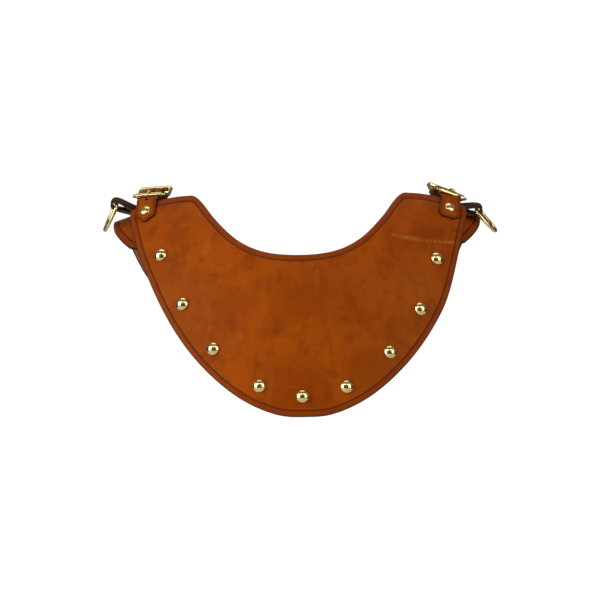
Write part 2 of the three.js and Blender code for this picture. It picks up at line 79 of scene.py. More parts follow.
# Breastplate: outline in x and z, seen from the front.
FRONT = {
    "hem_y": -116, "hem_z": -199.4, "height": 200, "lean": 0.12, "curl": 1.05,
    "wrap_radius": 240, "ease": 0.45, "crown": 2.2, "up": 1,
    "drift": 3.5, "drift_from": -40, "drift_over": 70,
    "outer": [(146, -10.6), (150.6, -12.6), (151.8, -17.5), (150.2, -27), (142.9, -56),
              (125.5, -104), (96.5, -148), (59.3, -181.5), (24.5, -197.3), (0, -199.4)],
    "inner": [(101, 0.3), (95, 0.4), (91, -1.6), (86, -6.6), (75, -21), (55, -40.2),
              (33, -50.6), (0, -54.3)],
}

# Back plate: outline in x and s, the distance along the leather from the top of the shoulder.
BACK = {
    "ridge_y": 10, "ridge_z": -3, "fall_from": 105, "fall_slope": 0.333, "fall_soft": 8,
    "front_arcs": [(45, 50), (60, math.inf)], "back_arcs": [(62, 60), (200, 400)],
    "wrap_radius": 240, "wrap_from": 20, "wrap_over": 150, "crown": 8, "up": -1,
    "shift": -1.5,
    "outer": [(151.5, -55), (159.5, -42), (164.7, -28), (165.5, -6), (162, 20), (153, 52),
              (136, 96), (108, 138), (72, 174), (34, 196), (0, 203)],
    "inner": [(106, -55), (100.5, -51), (98, -44), (96.5, -25), (96, 0), (91, 26), (78, 52),
              (54, 76), (27, 87), (0, 90)],
}

# Roller buckle, in its own frame: x along the roller, y to the rear, z off the strap.
BUCKLE = {
    "rail_x": 13.9, "rail_half": 1.6, "rail_thick": 3.0, "bar_radius": 1.5,
    "centre_bar": 15.5, "centre_z": -3.5, "rear_bar": 31.0, "rear_lift": 1.5, "rear_height": 5.0,
    "roller_inner": 1.8, "roller_outer": 2.75, "roller_half": 11.7,
}
PRONG_HALF = 1.5
PRONG_SLOT_HALF = 2.1

RING = {"wire": 1.7, "bar_half": 11, "arc_half": 13.2, "arc_centre": 6, "arc_depth": 19.5}
TAB_Y = -8
TAB_S = -18
TAB_RIVET_X = 128
RING_TILT = 11                   # degrees that the ring's bar and the tab's fold rise to the back
RING_REST = (0.4, 0.3)           # the ring's bar lies this far in and down from the fold's middle
CHAPE_RIVET_S = 44
CHAPE_BEND_S = 22                # the chape leaves the back plate here, this far clear of it
CHAPE_CLEAR = 0.9
FOLD_RADIUS = 3.9
BEND_Y = -21.5                   # the straps bend here, on their way from the breastplate to the buckle
BEND_SHARE = 0.6
FOOT_TOP_Z = -5.6

# What differs between the two shoulders, which are cut and set by hand.
SIDES = {
    "right": {
        "sign": -1, "buckle": (-134.5, -12, 2), "roll": 3, "pitch": 8, "toe": 12,
        "strap_shift": 0, "bend_z": -1.4, "bend_roll": 7,
        "top_x": -135.6, "tip_x": -138.4, "tip_z": -23.6, "shoulder_z": -18.4, "tip_half": 1.6,
        "fold": (164.6, -5.5), "ring_lean": 25,
    },
    "left": {
        "sign": 1, "buckle": (138.5, -12, -0.5), "roll": 20, "pitch": 6, "toe": 18,
        "strap_shift": -1.8, "bend_z": -3.4, "bend_roll": 12,
        "top_x": 137, "tip_x": 134.6, "tip_z": -23.8, "shoulder_z": -21.4, "tip_half": 5.5,
        "fold": (161.6, -14.9), "ring_lean": 41,
    },
}

# ------------------------------------------------------------------ leather surfaces


def smooth(value):
    t = min(max(value, 0.0), 1.0)
    return t * t * (3 - 2 * t)


def front_point(x, z):
    """Middle of the breastplate's leather at x and z."""
    h = z - FRONT["hem_z"]
    rise = h / FRONT["height"]
    back = FRONT["lean"] * h + FRONT["curl"] * h * rise ** 3 / 4
    wrap = x * x / (2 * FRONT["wrap_radius"]) * (1 - FRONT["ease"] * rise ** 2)
    return Vector((x, FRONT["hem_y"] + back + wrap, z))


def along_arcs(arcs, length):
    """How far back and down a strip lies after a length along arcs given as (length, radius)."""
    y, drop, angle, left = 0.0, 0.0, 0.0, length
    for span, radius in arcs:
        step = min(left, span)
        if math.isinf(radius):
            y += step * math.cos(angle)
            drop += step * math.sin(angle)
        else:
            turned = angle + step / radius
            y += radius * (math.sin(turned) - math.sin(angle))
            drop += radius * (math.cos(angle) - math.cos(turned))
            angle = turned
        left -= step
    return y, drop


def back_point(x, s):
    """Middle of the back plate's leather at x and distance s from the top of the shoulder."""
    y, drop = along_arcs(BACK["front_arcs"] if s < 0 else BACK["back_arcs"], abs(s))
    over = (abs(x) - BACK["fall_from"]) / BACK["fall_soft"]
    fall = BACK["fall_slope"] * BACK["fall_soft"] * math.log1p(math.exp(over))
    wrap = x * x / (2 * BACK["wrap_radius"]) * smooth((s - BACK["wrap_from"]) / BACK["wrap_over"])
    return Vector((x, BACK["ridge_y"] + math.copysign(y, s) - wrap, BACK["ridge_z"] - drop - fall))


def front_drift(z):
    return FRONT["drift"] * smooth((FRONT["drift_from"] - z) / FRONT["drift_over"])


def back_shift(_):
    return BACK["shift"]


PLATES = {
    "front": {**FRONT, "at": front_point, "shift": front_drift},
    "back": {**BACK, "at": back_point, "shift": back_shift},
}


def tangents(plate, x, v):
    """Unit directions on a plate's surface, across it and along its second coordinate."""
    step = 0.5
    at = plate["at"]
    across = (at(x + step, v) - at(x - step, v)).normalized()
    along = (at(x, v + step) - at(x, v - step)).normalized()
    return across, along


def off_plate(plate, x, v, lift):
    """A point standing lift above the middle of a plate's leather, on its outer side."""
    across, along = tangents(plate, x, v)
    return plate["at"](x, v) + across.cross(along).normalized() * lift


def catmull(points, t):
    """A point on the centripetal Catmull-Rom curve through 2-D points, at share t of its spans."""
    spans = len(points) - 1
    i = min(int(t * spans), spans - 1)
    w = t * spans - i
    p1, p2 = points[i], points[i + 1]
    p0 = points[i - 1] if i > 0 else 2 * p1 - p2
    p3 = points[i + 2] if i + 2 <= spans else 2 * p2 - p1
    d0, d1, d2 = (math.sqrt((b - a).length) for a, b in ((p0, p1), (p1, p2), (p2, p3)))
    m1 = ((p1 - p0) / d0 - (p2 - p0) / (d0 + d1) + (p2 - p1) / d1) * d1
    m2 = ((p2 - p1) / d1 - (p3 - p1) / (d1 + d2) + (p3 - p2) / d2) * d1
    return (p1 + m1 * w + (3 * (p2 - p1) - 2 * m1 - m2) * w ** 2
            + (2 * (p1 - p2) + m1 + m2) * w ** 3)


def mirrored(half):
    """A half outline, its centre point last, and its mirror image, from -x to +x."""
    return [Vector((-x, v)) for x, v in half] + [Vector((x, v)) for x, v in half[-2::-1]]


def resampled(points, count):
    """Points along a smooth curve through 3-D points, count to each span."""
    curve = []
    spans = len(points) - 1
    for k in range(spans * count + 1):
        curve.append(catmull(points, k / (spans * count)))
    return curve

# ------------------------------------------------------------------ mesh tools

ROUND_EDGE = 1.7                 # how far in from an edge the leather's burnished rounding reaches
ROUND_POWER = 2.4                # shape of that rounding: 2 is a half circle, more is squarer
TIDY_DISTANCE = 1e-7             # metres
STRIP_EDGE_ROWS = [0, 0.08, 0.3, 0.7, 1.2]


def new_object(name, points, faces, layers=None, smoothed=True):
    """An object from points in millimetres, with float layers stored on its points."""
    mesh = bpy.data.meshes.new(name)
    mesh.from_pydata([tuple(p * MM) for p in points], [], faces)
    for layer, values in (layers or {}).items():
        mesh.attributes.new(layer, "FLOAT", "POINT").data.foreach_set("value", values)
    form = bmesh.new()
    form.from_mesh(mesh)
    bmesh.ops.remove_doubles(form, verts=form.verts, dist=TIDY_DISTANCE)
    bmesh.ops.recalc_face_normals(form, faces=form.faces)
    form.to_mesh(mesh)
    form.free()
    for face in mesh.polygons:
        face.use_smooth = smoothed
    item = bpy.data.objects.new(name, mesh)
    bpy.context.scene.collection.objects.link(item)
    return item


def apply_modifiers(item):
    """Makes the modified shape of an object its own mesh."""
    bpy.context.view_layer.update()
    shaped = item.evaluated_get(bpy.context.evaluated_depsgraph_get())
    mesh = bpy.data.meshes.new_from_object(shaped)
    item.modifiers.clear()
    item.data = mesh
    return item


def cut(item, *tools):
    """Cuts holes in an object, and removes the tools."""
    for tool in tools:
        boolean = item.modifiers.new("hole", "BOOLEAN")
        boolean.object = tool
        boolean.solver = "EXACT"
    apply_modifiers(item)
    for tool in tools:
        bpy.data.objects.remove(tool)
    return item


def edge_distances(points, outline):
    """How far each 2-D point lies from a closed 2-D outline."""
    spot = np.array([tuple(p) for p in points])
    start = np.array([tuple(p) for p in outline])
    step = np.roll(start, -1, axis=0) - start
    length = np.maximum((step ** 2).sum(axis=1), 1e-12)
    nearest = np.full(len(spot), np.inf)
    for a, d, size in zip(start, step, length):
        share = np.clip(((spot - a) @ d) / size, 0, 1)
        gap = np.linalg.norm(spot - a - share[:, None] * d, axis=1)
        nearest = np.minimum(nearest, gap)
    return nearest.tolist()


def edge_rounding(distance, thick):
    """Half the leather's thickness at a distance from its edge: it rounds off to nothing there."""
    reach = min(ROUND_EDGE, thick * 0.6)
    inward = 1 - min(distance / reach, 1.0)
    return thick / 2 * (1 - inward ** ROUND_POWER) ** (1 / ROUND_POWER)


def leather_sheet(name, rows, distances, thick, grain=1, extra=None):
    """Leather with rounded edges from a grid of (middle point, unit normal) rows.

    Layers: edge is the distance to the nearest edge, and flesh is 1 on the rough side."""
    columns = len(rows[0])
    count = len(rows) * columns
    points, flesh = [], []
    for face in (1, -1):
        for k in range(count):
            middle, normal = rows[k // columns][k % columns]
            points.append(middle + normal * face * edge_rounding(distances[k], thick))
            flesh.append(0.0 if face == grain else 1.0)
    faces = []
    for i in range(len(rows) - 1):
        for j in range(columns - 1):
            a = i * columns + j
            faces.append((a, a + columns, a + columns + 1, a + 1))
            faces.append((count + a, count + a + 1, count + a + columns + 1, count + a + columns))
    layers = {"edge": distances * 2, "flesh": flesh}
    for layer, values in (extra or {}).items():
        layers[layer] = values * 2
    return new_object(name, points, faces, layers)


def fractions(length, near, count):
    """Shares of a length: close together near both ends, with count even steps between."""
    middle = length - 2 * near[-1]
    spread = [near[-1] + middle * k / count for k in range(1, count)]
    return [d / length for d in [*near, *spread, *(length - d for d in reversed(near))]]


def band(name, stations, thick, grain=1, spans=8, step=0.9):
    """A strip of leather through stations (point, side, half width), with rounded edges."""
    places = resampled([p for p, _, _ in stations], spans)
    last = len(stations) - 1
    marks, run = [], 0.0
    for k, place in enumerate(places):
        u = min(k / spans, last - 1e-6)
        (_, side_a, half_a), (_, side_b, half_b) = stations[int(u)], stations[int(u) + 1]
        share = u - int(u)
        half = half_a * (1 - share) + half_b * share
        if k:
            run += (place - places[k - 1]).length
        marks.append([run, place, side_a.lerp(side_b, share), half])
    total = run
    outline = [Vector((r, h)) for r, _, _, h in marks]
    outline += [Vector((r, -h)) for r, _, _, h in marks[::-1]]
    width = 2 * max(h for *_, h in marks)
    along = [total * f for f in fractions(total, STRIP_EDGE_ROWS, round(total / step))]
    across = fractions(width, STRIP_EDGE_ROWS, round(width / step))
    rows, flat, k = [], [], 0
    for run in along:
        while k < len(marks) - 2 and marks[k + 1][0] < run:
            k += 1
        r0, p0, s0, h0 = marks[k]
        r1, p1, s1, h1 = marks[k + 1]
        share = min(max((run - r0) / (r1 - r0), 0.0), 1.0)
        before = marks[max(k - 1, 0)][1]
        after = marks[min(k + 2, len(marks) - 1)][1]
        forward = ((p1 - before) * (1 - share) + (after - p0) * share).normalized()
        side = s0.lerp(s1, share)
        side = (side - forward * side.dot(forward)).normalized()
        up = side.cross(forward).normalized()
        half = h0 * (1 - share) + h1 * share
        row = []
        for f in across:
            w = (2 * f - 1) * half
            row.append((p0.lerp(p1, share) + side * w, up))
            flat.append(Vector((run, w)))
        rows.append(row)
    return leather_sheet(name, rows, edge_distances(flat, outline), thick, grain)


def sweep(name, path, section, side, closed=False):
    """A solid bar: a closed flat section of (a, b) moved along a path that stays square to side.

    Each path entry is (point, size), size scaling the section there."""
    count, ring = len(path), len(section)
    points, faces = [], []
    for i, (place, size) in enumerate(path):
        before = path[(i - 1) % count if closed else max(i - 1, 0)][0]
        after = path[(i + 1) % count if closed else min(i + 1, count - 1)][0]
        up = side.cross((after - before).normalized()).normalized()
        for a, b in section:
            points.append(place + side * a * size + up * b * size)
    for i in range(count if closed else count - 1):
        for k in range(ring):
            a, b = i * ring + k, i * ring + (k + 1) % ring
            c, d = (b + ring) % (count * ring), (a + ring) % (count * ring)
            faces.append((a, b, c, d))
    if not closed:
        faces.append(tuple(range(ring)))
        faces.append(tuple(range(count * ring - ring, count * ring)))
    return new_object(name, points, faces)


def rounded_section(half_a, half_b, power=3.0, sides=20):
    """A rounded rectangle as a superellipse."""
    section = []
    for k in range(sides):
        angle = 2 * math.pi * (k + 0.5) / sides
        c, s = math.cos(angle), math.sin(angle)
        section.append((half_a * math.copysign(abs(c) ** (2 / power), c),
                        half_b * math.copysign(abs(s) ** (2 / power), s)))
    return section


def turned(name, profile, basis, segments=40):
    """A solid turned about +Z of a basis, from a profile of (radius, z), smoothed between points."""
    points, faces = [], []
    count = len(profile)
    for k in range(segments):
        angle = 2 * math.pi * k / segments
        for r, z in profile:
            points.append(basis @ Vector((r * math.cos(angle), r * math.sin(angle), z)))
    for k in range(segments):
        a, b = k * count, (k + 1) % segments * count
        for i in range(count - 1):
            faces.append((a + i, b + i, b + i + 1, a + i + 1))
    return new_object(name, points, faces)


def remeshed(item, voxel, smoothing):
    """Fuses the overlapping bars of one casting and softens where they meet."""
    fuse = item.modifiers.new("fuse", "REMESH")
    fuse.mode = "VOXEL"
    fuse.voxel_size = voxel * MM
    fuse.use_smooth_shade = True
    soften = item.modifiers.new("soften", "SMOOTH")
    soften.factor = 0.5
    soften.iterations = smoothing
    return apply_modifiers(item)


def joined(name, parts):
    """Several objects' meshes as one object."""
    form = bmesh.new()
    for part in parts:
        form.from_mesh(part.data)
    mesh = bpy.data.meshes.new(name)
    form.to_mesh(mesh)
    form.free()
    for part in parts:
        bpy.data.objects.remove(part)
    for face in mesh.polygons:
        face.use_smooth = True
    item = bpy.data.objects.new(name, mesh)
    bpy.context.scene.collection.objects.link(item)
    return item

# ------------------------------------------------------------------ plates

FAR = 99.0                       # the flex layer of a plate with no flex line
END_SPEED = 87.0                 # millimetres of plate edge for each unit of t near the shoulders
EDGE_ROWS = [0, 0.1, 0.35, 0.8, 1.7, 3.0]
CROWN_SHARE = 0.12               # how much of a plate, from each shoulder, its end edge bows in

# Worn line where the breastplate has flexed, on the wearer's left shoulder, in x and z.
FLEX_LINE = [Vector((84, -38)), Vector((97, -40.5)), Vector((112, -43.5)), Vector((128, -45)),
             Vector((143, -45.5))]


def plate_outline(plate, t, across):
    """Outline coordinates at t along a plate and a share across it, from outer to neck edge."""
    p = catmull(plate["outer_line"], t).lerp(catmull(plate["inner_line"], t), across)
    near_end = max(0.0, 1 - min(t, 1 - t) / CROWN_SHARE)
    v = p.y + 4 * plate["crown"] * across * (1 - across) * near_end ** 2 * plate["up"]
    return Vector((p.x + plate["shift"](v), v))


def plate_object(name, plate):
    """One of the two plates: 4 mm leather with rounded edges."""
    plate["outer_line"] = mirrored(plate["outer"])
    plate["inner_line"] = mirrored(plate["inner"])
    along = fractions(END_SPEED, EDGE_ROWS, PLATE_COLUMNS)
    flat, rows = [], []
    for t in along:
        width = (catmull(plate["outer_line"], t) - catmull(plate["inner_line"], t)).length
        shares = fractions(width, EDGE_ROWS, PLATE_ROWS)
        flat.append([plate_outline(plate, t, share) for share in shares])
    for line in flat:
        row = []
        for x, v in line:
            across, up = tangents(plate, x, v)
            row.append((plate["at"](x, v), across.cross(up).normalized()))
        rows.append(row)
    rim = [line[0] for line in flat] + flat[-1][1:] + [line[-1] for line in flat[-2::-1]]
    rim += flat[0][-2:0:-1]
    every = [spot for line in flat for spot in line]
    flex = [FAR] * len(every)
    if plate["up"] > 0:
        flex = edge_distances(every, FLEX_LINE + FLEX_LINE[-2:0:-1])
    return leather_sheet(name, rows, edge_distances(every, rim), PLATE_THICK, extra={"flex": flex})


# ------------------------------------------------------------------ straps, chapes and tabs

HOLE_RADIUS = 1.45
BEND_RELIEF = 1.8                # the bend's two stations stand this far from its line
BEND_DIP = (-0.3, 0.2)           # and this far from its height, in front and behind
FOOT_FLAT_Z = -12
FOOT_TOP_LIFT = 0.8
STRAP_SLOT = {"y": 10.9, "tilt": 28, "length": 5.4, "reach": 6}
CHAPE_SLOT = {"y": 15.8, "length": 5.4, "reach": 5}
SPARE_REACH = 4
SPARE_HOLE_SHARE = 0.2           # how far the spare hole is from the plate's top to the bend
CHAPE_REACH = 24                 # the chape's rivet stands this far behind the buckle's rear bar
CHAPE_END = 8                    # leather past the rivet
CHAPE_EASE = 9                   # flat leather in front of it
TAB_END_X = 120
TAB_LIFT_X = (137, 139)          # where the tab's two layers leave the plate for the fold
TAIL_SHARE = 0.45                # how wide the strap's hidden end is

# The strap through the buckle and the chape under and over it, as y and z in the buckle's frame.
TONGUE_PATH = [(-2.5, -4.9), (1, -4.7), (3, -4.4), (7.5, -2.3), (11.2, 0.1), (15.5, 1.75),
               (19.6, 0.9), (24, -1.3), (28, -3.2), (31.5, -4.5), (37, -6.1)]
CHAPE_UNDER = [(31, -9.4), (24, -7), (19, -6.3)]
CHAPE_OVER = [(17.6, -1.4), (24, -4.2), (31, -7.2)]


def buckle_frame(side):
    """The buckle's own frame in millimetres."""
    angles = (math.radians(side["pitch"]), math.radians(side["sign"] * side["roll"]),
              math.radians(side["sign"] * side["toe"]))
    return Matrix.Translation(side["buckle"]) @ Euler(angles, "XYZ").to_matrix().to_4x4()


def in_metres(basis):
    scaled = basis.copy()
    scaled.translation *= MM
    return scaled


def bend_across(side):
    roll = math.radians(side["bend_roll"])
    toe = math.radians(side["toe"] * BEND_SHARE)
    sign = side["sign"]
    return Vector((math.cos(roll), sign * math.sin(toe), -sign * math.sin(roll))).normalized()


def punch(basis, radius, reach, length=0.0):
    """A round or slotted punch, to cut a hole along a basis's z axis."""
    parts = []
    for y in (-length / 2, length / 2):
        pin = turned("punch", [(0, -reach), (radius, -reach), (radius, reach), (0, reach)],
                     basis @ Matrix.Translation((0, y, 0)), 24)
        parts.append(pin)
    if length:
        section = [(-radius, -reach), (radius, -reach), (radius, reach), (-radius, reach)]
        path = [(Vector((0, -length / 2, 0)), 1), (Vector((0, length / 2, 0)), 1)]
        slab = sweep("punch", path, section, Vector((1, 0, 0)))
        slab.data.transform(in_metres(basis))
        parts.append(slab)
    else:
        bpy.data.objects.remove(parts.pop())
    return parts


def strap_stations(side, group):
    """The strap: from its tip on the breastplate, over the shoulder, through the buckle."""
    plate = PLATES["front"]
    lift = PLATE_THICK / 2 + SEAT / 2 + STRAP_THICK / 2

    def on_plate(z, half, extra=0.0):
        share = (z - FOOT_TOP_Z) / (side["tip_z"] - FOOT_TOP_Z)
        x = side["top_x"] + (side["tip_x"] - side["top_x"]) * share
        return off_plate(plate, x, z, lift + extra), tangents(plate, x, z)[0], half

    bend = bend_across(side)
    stations = [
        on_plate(side["tip_z"], side["tip_half"]),
        on_plate(side["shoulder_z"], STRAP_HALF),
        on_plate(FOOT_FLAT_Z, STRAP_HALF),
        on_plate(FOOT_TOP_Z, STRAP_HALF, FOOT_TOP_LIFT),
        (Vector((side["top_x"], BEND_Y - BEND_RELIEF, side["bend_z"] + BEND_DIP[0])), bend, STRAP_HALF),
        (Vector((side["top_x"], BEND_Y + BEND_RELIEF, side["bend_z"] + BEND_DIP[1])), bend, STRAP_HALF),
    ]
    across = group.to_3x3() @ Vector((1, 0, 0))
    for y, z in TONGUE_PATH:
        stations.append((group @ Vector((side["strap_shift"], y, z)), across, STRAP_HALF))
    stations[-1] = (*stations[-1][:2], STRAP_HALF * TAIL_SHARE)
    return stations


def strap_object(name, side, group):
    """One strap with its prong hole under the prong and a spare hole below the roller."""
    stations = strap_stations(side, group)
    strap = band(name, stations, STRAP_THICK)
    prong_hole = group @ Matrix.Translation((0, STRAP_SLOT["y"], 0))
    prong_hole = prong_hole @ Matrix.Rotation(math.radians(STRAP_SLOT["tilt"]), 4, "X")
    across = stations[3][1]
    spare = stations[3][0].lerp(stations[4][0], SPARE_HOLE_SHARE)
    rise = (stations[4][0] - stations[2][0]).normalized()
    spare_hole = Matrix.Translation(spare) @ facing(across.cross(rise))
    holes = punch(prong_hole, PRONG_SLOT_HALF, STRAP_SLOT["reach"], STRAP_SLOT["length"])
    holes += punch(spare_hole, HOLE_RADIUS, SPARE_REACH)
    return cut(strap, *holes)


def chape_object(name, group, rivet_x):
    """The folded leather that holds the buckle's centre bar, riveted to the back plate."""
    plate = PLATES["back"]
    across = group.to_3x3() @ Vector((1, 0, 0))
    wrap = BUCKLE["bar_radius"] + GAP + CHAPE_THICK / 2
    low = PLATE_THICK / 2 + SEAT + CHAPE_THICK / 2
    high = low + CHAPE_THICK + GAP

    def in_buckle(y, z):
        return group @ Vector((0, y, z)), across, STRAP_HALF

    def on_plate(s, lift):
        return off_plate(plate, rivet_x, s, lift), tangents(plate, rivet_x, s)[0], STRAP_HALF

    stations = [on_plate(CHAPE_RIVET_S + CHAPE_END, low), on_plate(CHAPE_RIVET_S, low),
                on_plate(CHAPE_RIVET_S - CHAPE_EASE, low + GAP),
                on_plate(CHAPE_BEND_S, low + CHAPE_CLEAR)]
    stations += [in_buckle(y, z) for y, z in CHAPE_UNDER]
    for degrees in (-90, -135, -180, -225, -270):
        angle = math.radians(degrees)
        y = BUCKLE["centre_bar"] + wrap * math.cos(angle)
        stations.append(in_buckle(y, BUCKLE["centre_z"] + wrap * math.sin(angle)))
    stations += [in_buckle(y, z) for y, z in CHAPE_OVER]
    stations += [on_plate(CHAPE_BEND_S, high + CHAPE_CLEAR),
                 on_plate(CHAPE_RIVET_S - CHAPE_EASE, high + GAP),
                 on_plate(CHAPE_RIVET_S, high), on_plate(CHAPE_RIVET_S + CHAPE_END, high)]
    chape = band(name, stations, CHAPE_THICK)
    slot = group @ Matrix.Translation((0, CHAPE_SLOT["y"], BUCKLE["centre_z"]))
    return cut(chape, *punch(slot, PRONG_SLOT_HALF, CHAPE_SLOT["reach"], CHAPE_SLOT["length"]))


def tab_object(name, side):
    """The dark tab doubled round the D-ring's bar and riveted to the back plate."""
    plate = PLATES["back"]
    sign = side["sign"]
    fold_x, fold_z = side["fold"]
    tilt = math.radians(RING_TILT)
    bar = Vector((0, math.cos(tilt), math.sin(tilt)))
    low = PLATE_THICK / 2 + SEAT + TAB_THICK / 2
    high = low + TAB_THICK + GAP

    def on_plate(x, lift):
        return (off_plate(plate, sign * x, TAB_S, lift),
                tangents(plate, sign * x, TAB_S)[1], TAB_HALF)

    stations = [on_plate(TAB_END_X, low), on_plate(TAB_RIVET_X, low), on_plate(TAB_LIFT_X[0], low)]
    for degrees in (-90, -45, 0, 45, 90):
        angle = math.radians(degrees)
        place = Vector((sign * (fold_x + FOLD_RADIUS * math.cos(angle)), TAB_Y,
                        fold_z + FOLD_RADIUS * math.sin(angle)))
        stations.append((place, bar, TAB_HALF))
    stations += [on_plate(TAB_LIFT_X[1], high), on_plate(TAB_RIVET_X, high), on_plate(TAB_END_X, high)]
    return band(name, stations, TAB_THICK, grain=sign)

# ------------------------------------------------------------------ brass

DOME_HEAD = (6.0, 4.75)
CAP_HEAD = (4.7, 2.1)
BURR = (3.6, 1.2)                # the clenched washer on the inside: radius and thickness
POST_RADIUS = 1.4
DOME_WALL = 1.5                  # the straight edge under a dome, and under a cap
CAP_WALL = 0.7
DOME_STEPS = 14
VOXEL = 0.3                      # detail of the cast buckles, and how often it is smoothed
CAST_SMOOTHING = 3
RAIL_PATH = [(-2.4, 0), (2.5, 0), (9, -1.2), (15.5, -2.3), (22, -1.2), (28, 0.8)]
PRONG_LOOP = 2.5                 # middle of the prong's loop round the centre bar
PRONG_DEPTH = 0.95               # half the prong's thickness
PRONG_SHANK = [(14.6, -0.35), (11.5, 1.05), (8, 2.65), (4.6, 3.85), (1.2, 4.05), (-1.2, 3.75),
               (-3.1, 2.9)]


def facing(direction):
    """A turn that takes +Z to a direction."""
    return direction.to_track_quat("Z", "Y").to_matrix().to_4x4()


def rivet_axis(node, outward, height):
    """The frame of a CAD rivet, its origin where the head meets the leather, and its depth."""
    points = np.array([v.co for v in frame["nodes"][node].data.vertices]) / MM
    centre = points.mean(axis=0)
    spread, axes = np.linalg.eigh(np.cov((points - centre).T))
    axis = axes[:, 2 if spread[2] - spread[1] > spread[1] - spread[0] else 0]
    if axis @ np.array(outward) < 0:
        axis = -axis
    reach = (points - centre) @ axis
    origin = centre + axis * (reach.max() - height)
    depth = reach.max() - height - reach.min()
    return Matrix.Translation(origin.tolist()) @ facing(Vector(axis.tolist())), depth


def rivet(name, node, outward, head, wall):
    """A rivet: a domed head on a low wall, its post, and the burr clenched over it inside."""
    radius, height = head
    axis, depth = rivet_axis(node, outward, height)
    burr_radius, burr_thick = BURR
    profile = [(0, -depth - 0.25), (1.3, -depth - 0.2), (1.6, -depth + 0.15), (2.2, -depth + 0.2),
               (burr_radius - 0.3, -depth + 0.25), (burr_radius, -depth + 0.55),
               (burr_radius, -depth + burr_thick + 0.4), (POST_RADIUS, -depth + burr_thick + 0.4),
               (POST_RADIUS, -0.5), (radius - 0.25, -0.5), (radius - 0.1, -0.1), (radius, wall * 0.5)]
    rise = height - wall
    sphere = (radius ** 2 + rise ** 2) / (2 * rise)
    widest = math.asin(radius / sphere)
    for k in range(DOME_STEPS + 1):
        angle = widest * (1 - k / DOME_STEPS)
        profile.append((sphere * math.sin(angle), height - sphere * (1 - math.cos(angle))))
    return turned(name, profile, axis)


def bar_path(points, taper):
    """A smooth bar path whose ends are rounded off over the given lengths of it."""
    path = []
    for k, place in enumerate(points):
        ends = min(k, len(points) - 1 - k)
        size = math.sin(math.pi / 2 * min(1.0, (ends + 0.6) / taper)) if ends < taper else 1.0
        path.append((place, size))
    return path


def buckle_casting(name, group):
    """The buckle's frame: two rails, a rear bar, a centre bar and the bar in the roller."""
    b = BUCKLE
    rail_section = rounded_section(b["rail_half"], b["rail_thick"] / 2, 2.6)
    bar_section = rounded_section(b["bar_radius"], b["bar_radius"], 2.0)
    parts = []
    for x in (-b["rail_x"], b["rail_x"]):
        line = [Vector((x, y, z)) for y, z in (*RAIL_PATH, (b["rear_bar"] + 1.5, b["rear_lift"]))]
        parts.append(sweep("rail", bar_path(resampled(line, 8), 5), rail_section, Vector((1, 0, 0))))
    rear_section = rounded_section(1.4, b["rear_height"] / 2, 2.8)
    for y, z, section in ((0, 0, bar_section), (b["centre_bar"], b["centre_z"], bar_section),
                          (b["rear_bar"], b["rear_lift"], rear_section)):
        line = [(Vector((b["rail_x"] * k / 8, y, z)), 1) for k in range(-8, 9)]
        parts.append(sweep("bar", line, section, Vector((0, 1, 0))))
    casting = remeshed(joined(name, parts), VOXEL, CAST_SMOOTHING)
    casting.data.transform(in_metres(group))
    return casting


def roller_tube(name, group):
    b = BUCKLE
    inner, outer, half = b["roller_inner"], b["roller_outer"], b["roller_half"]
    edge = [(inner, half - 0.4), (inner + 0.15, half - 0.08), (inner + 0.4, half), (outer - 0.4, half),
            (outer - 0.12, half - 0.1), (outer, half - 0.4), (outer, half - 0.7)]
    profile = [(r, -z) for r, z in edge] + [(r, z) for r, z in reversed(edge)]
    profile.append(profile[0])
    return turned(name, profile, group @ Matrix.Rotation(math.pi / 2, 4, "Y"), 48)


def prong_bar(name, group):
    """The prong: a loop round the centre bar and a shank that lies forward over the roller."""
    loop = []
    for degrees in range(-200, 61, 15):
        angle = math.radians(degrees)
        loop.append(Vector((0, BUCKLE["centre_bar"] + PRONG_LOOP * math.cos(angle),
                            BUCKLE["centre_z"] + PRONG_LOOP * math.sin(angle))))
    shank = [Vector((0, y, z)) for y, z in PRONG_SHANK]
    path = [(p, 1.0) for p in loop] + [(p, 1.0) for p in resampled(shank, 5)]
    for k, size in enumerate((0.35, 0.62, 0.78, 0.88, 0.95)):
        path[-1 - k] = (path[-1 - k][0], size)
    bar = sweep(name, path, rounded_section(PRONG_HALF, PRONG_DEPTH, 2.4), Vector((1, 0, 0)))
    bar.data.transform(in_metres(group))
    return bar


def ring_basis(side):
    """The D-ring's own frame: its bar on x, its arc hanging to -y."""
    tilt, lean = math.radians(RING_TILT), math.radians(side["ring_lean"])
    bar = Vector((0, math.cos(tilt), math.sin(tilt)))
    hang = Vector((side["sign"] * math.sin(lean), 0, -math.cos(lean)))
    up = bar.cross(bar.cross(hang)).normalized()
    turn = Matrix((bar, up, bar.cross(up))).transposed().to_4x4()
    fold_x, fold_z = side["fold"]
    return Matrix.Translation(
        (side["sign"] * (fold_x - RING_REST[0]), TAB_Y, fold_z - RING_REST[1])) @ turn


def ring_wire(name, side):
    """A D-ring of round wire: a straight bar, rounded corners and an arc."""
    r = RING
    half = [Vector((x, 0, 0)) for x in (0, 3, 6, 9, r["bar_half"] - 0.4)]
    half += [Vector((12.0, -0.35, 0)), Vector((12.8, -1.4, 0)), Vector((r["arc_half"] - 0.1, -3.2, 0))]
    steps = 24
    for k in range(steps + 1):
        angle = math.pi / 2 * k / steps
        half.append(Vector((r["arc_half"] * math.cos(angle),
                            -r["arc_centre"] - r["arc_depth"] * math.sin(angle), 0)))
    other = [Vector((-p.x, p.y, 0)) for p in half[-2:0:-1]]
    path = [(p, 1.0) for p in half + other]
    wire = sweep(name, path, rounded_section(r["wire"], r["wire"], 2.0, 24), Vector((0, 0, 1)), True)
    wire.data.transform(in_metres(ring_basis(side)))
    return wire

# ------------------------------------------------------------------ materials


